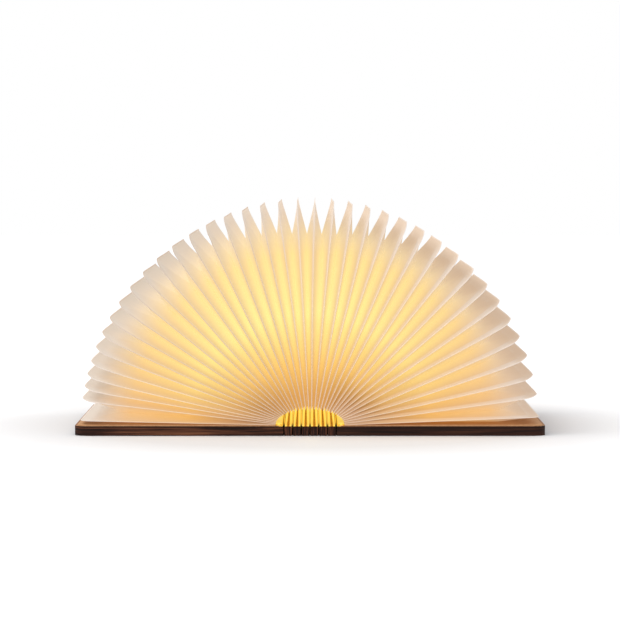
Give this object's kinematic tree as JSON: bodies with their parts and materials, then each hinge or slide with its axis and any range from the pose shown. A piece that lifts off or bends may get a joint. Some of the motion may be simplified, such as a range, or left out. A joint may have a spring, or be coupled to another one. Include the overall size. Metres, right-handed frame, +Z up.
{
  "type": "folding book lamp",
  "caption": "Book-shaped folding lamp: two wooden covers on a slatted flexing spine, with a lit pleated paper fan between them that opens to a half circle.",
  "frame": {"origin": "middle of the underside of the spine, on the surface that the open lamp lies on", "axes": "+X across both covers towards the right one, +Y along the spine away from the viewer, +Z up"},
  "size_m": [0.379, 0.215, 0.1888],
  "materials": {
    "cover_wood": "dark stained veneer on plywood, satin oil",
    "spine_wood": "laser-cut dark plywood",
    "lining_card": "smooth off-white card",
    "page_paper": "translucent water-resistant paper, lit from inside",
    "lamp_strip": "flexible white circuit with lamps",
    "diffuser": "milky translucent plastic, lit from inside",
    "battery_foil": "matt pouch foil",
    "circuit_board": "green solder mask",
    "screw_steel": "zinc plated",
    "socket_steel": "stamped shell",
    "lid_wood": "raw thin plywood",
    "lead_cover": "flat flexible insulation",
    "magnet_metal": "nickel plated"
  },
  "bodies": {
    "left_cover": {"left_cover": "cover_wood", "left_lining": "lining_card", "left_end_leaf": "page_paper", "left_lamp_strip": "lamp_strip", "left_diffuser": "diffuser", "battery": "battery_foil", "control_board": "circuit_board", "board_screws": "screw_steel", "charging_socket": "socket_steel", "pocket_lid": "lid_wood", "battery_lead": "lead_cover", "lamp_lead": "lead_cover", "left_magnets": "magnet_metal"},
    "spine_slat_1": {"spine_slat_1": "spine_wood"},
    "spine_slat_2": {"spine_slat_2": "spine_wood"},
    "spine_slat_3": {"spine_slat_3": "spine_wood"},
    "spine_slat_4": {"spine_slat_4": "spine_wood"},
    "spine_slat_5": {"spine_slat_5": "spine_wood"},
    "spine_slat_6": {"spine_slat_6": "spine_wood"},
    "right_cover": {"right_cover": "cover_wood", "right_lining": "lining_card", "right_end_leaf": "page_paper", "right_lamp_strip": "lamp_strip", "right_diffuser": "diffuser", "right_magnets": "magnet_metal", "switch_magnet": "magnet_metal"},
    "page_section_01": {"page_section_01": "page_paper"},
    "page_section_02": {"page_section_02": "page_paper"},
    "page_section_03": {"page_section_03": "page_paper"},
    "page_section_04": {"page_section_04": "page_paper"},
    "page_section_05": {"page_section_05": "page_paper"},
    "page_section_06": {"page_section_06": "page_paper"},
    "page_section_07": {"page_section_07": "page_paper"},
    "page_section_08": {"page_section_08": "page_paper"},
    "page_section_09": {"page_section_09": "page_paper"},
    "page_section_10": {"page_section_10": "page_paper"},
    "page_section_11": {"page_section_11": "page_paper"},
    "page_section_12": {"page_section_12": "page_paper"}
  },
  "joints": [
    {"name": "spine_fold_1", "type": "hinge", "parent": "left_cover", "child": "spine_slat_1", "pos_m": [-0.021, 0, 0.0038], "axis": [0, -1, 0], "range_deg": [0, 25.71]},
    {"name": "spine_fold_2", "type": "hinge", "parent": "left_cover", "child": "spine_slat_2", "pos_m": [-0.0175, 0, 0.0046], "axis": [0, -1, 0], "range_deg": [0, 51.43]},
    {"name": "spine_fold_3", "type": "hinge", "parent": "left_cover", "child": "spine_slat_3", "pos_m": [-0.014, 0, 0.00597], "axis": [0, -1, 0], "range_deg": [0, 77.14]},
    {"name": "spine_fold_4", "type": "hinge", "parent": "left_cover", "child": "spine_slat_4", "pos_m": [-0.0105, 0, 0.00797], "axis": [0, -1, 0], "range_deg": [0, 102.86]},
    {"name": "spine_fold_5", "type": "hinge", "parent": "left_cover", "child": "spine_slat_5", "pos_m": [-0.007, 0, 0.01071], "axis": [0, -1, 0], "range_deg": [0, 128.57]},
    {"name": "spine_fold_6", "type": "hinge", "parent": "left_cover", "child": "spine_slat_6", "pos_m": [-0.0035, 0, 0.01434], "axis": [0, -1, 0], "range_deg": [0, 154.29]},
    {"name": "right_cover_fold", "type": "hinge", "parent": "left_cover", "child": "right_cover", "pos_m": [0, 0, 0.01913], "axis": [0, -1, 0], "range_deg": [0, 180]},
    {"name": "page_fold_01", "type": "hinge", "parent": "left_cover", "child": "page_section_01", "pos_m": [-0.0146, 0, 0.00503], "axis": [0, -1, 0], "range_deg": [0, 9.88], "deforming": ["page_section_01"]},
    {"name": "page_fold_02", "type": "hinge", "parent": "left_cover", "child": "page_section_02", "pos_m": [-0.01269, 0, 0.00593], "axis": [0, -1, 0], "range_deg": [0, 20.14], "deforming": ["page_section_02"]},
    {"name": "page_fold_03", "type": "hinge", "parent": "left_cover", "child": "page_section_03", "pos_m": [-0.01256, 0, 0.00739], "axis": [0, -1, 0], "range_deg": [0, 33.04], "deforming": ["page_section_03"]},
    {"name": "page_fold_04", "type": "hinge", "parent": "left_cover", "child": "page_section_04", "pos_m": [-0.01164, 0, 0.0088], "axis": [0, -1, 0], "range_deg": [0, 47.82], "deforming": ["page_section_04"]},
    {"name": "page_fold_05", "type": "hinge", "parent": "left_cover", "child": "page_section_05", "pos_m": [-0.01009, 0, 0.00979], "axis": [0, -1, 0], "range_deg": [0, 62.88], "deforming": ["page_section_05"]},
    {"name": "page_fold_06", "type": "hinge", "parent": "left_cover", "child": "page_section_06", "pos_m": [-0.00841, 0, 0.0103], "axis": [0, -1, 0], "range_deg": [0, 77.1], "deforming": ["page_section_06"]},
    {"name": "page_fold_07", "type": "hinge", "parent": "left_cover", "child": "page_section_07", "pos_m": [-0.0069, 0, 0.01055], "axis": [0, -1, 0], "range_deg": [0, 90.55], "deforming": ["page_section_07"]},
    {"name": "page_fold_08", "type": "hinge", "parent": "left_cover", "child": "page_section_08", "pos_m": [-0.00568, 0, 0.01086], "axis": [0, -1, 0], "range_deg": [0, 104.16], "deforming": ["page_section_08"]},
    {"name": "page_fold_09", "type": "hinge", "parent": "left_cover", "child": "page_section_09", "pos_m": [-0.00473, 0, 0.01157], "axis": [0, -1, 0], "range_deg": [0, 118.8], "deforming": ["page_section_09"]},
    {"name": "page_fold_10", "type": "hinge", "parent": "left_cover", "child": "page_section_10", "pos_m": [-0.00389, 0, 0.0129], "axis": [0, -1, 0], "range_deg": [0, 134.54], "deforming": ["page_section_10"]},
    {"name": "page_fold_11", "type": "hinge", "parent": "left_cover", "child": "page_section_11", "pos_m": [-0.00291, 0, 0.01483], "axis": [0, -1, 0], "range_deg": [0, 150.74], "deforming": ["page_section_11"]},
    {"name": "page_fold_12", "type": "hinge", "parent": "left_cover", "child": "page_section_12", "pos_m": [-0.00154, 0, 0.01704], "axis": [0, -1, 0], "range_deg": [0, 166.68], "deforming": ["page_section_12"]}
  ],
  "couplings": [
    {"joint": "spine_fold_1", "follows": "right_cover_fold", "ratio": 0.14285},
    {"joint": "spine_fold_2", "follows": "right_cover_fold", "ratio": 0.28571},
    {"joint": "spine_fold_3", "follows": "right_cover_fold", "ratio": 0.42857},
    {"joint": "spine_fold_4", "follows": "right_cover_fold", "ratio": 0.57142},
    {"joint": "spine_fold_5", "follows": "right_cover_fold", "ratio": 0.71428},
    {"joint": "spine_fold_6", "follows": "right_cover_fold", "ratio": 0.85714},
    {"joint": "page_fold_01", "follows": "right_cover_fold", "ratio": 0.0549},
    {"joint": "page_fold_02", "follows": "right_cover_fold", "ratio": 0.11187},
    {"joint": "page_fold_03", "follows": "right_cover_fold", "ratio": 0.18353},
    {"joint": "page_fold_04", "follows": "right_cover_fold", "ratio": 0.26565},
    {"joint": "page_fold_05", "follows": "right_cover_fold", "ratio": 0.34934},
    {"joint": "page_fold_06", "follows": "right_cover_fold", "ratio": 0.42835},
    {"joint": "page_fold_07", "follows": "right_cover_fold", "ratio": 0.50306},
    {"joint": "page_fold_08", "follows": "right_cover_fold", "ratio": 0.57868},
    {"joint": "page_fold_09", "follows": "right_cover_fold", "ratio": 0.66001},
    {"joint": "page_fold_10", "follows": "right_cover_fold", "ratio": 0.74745},
    {"joint": "page_fold_11", "follows": "right_cover_fold", "ratio": 0.83743},
    {"joint": "page_fold_12", "follows": "right_cover_fold", "ratio": 0.926}
  ]
}
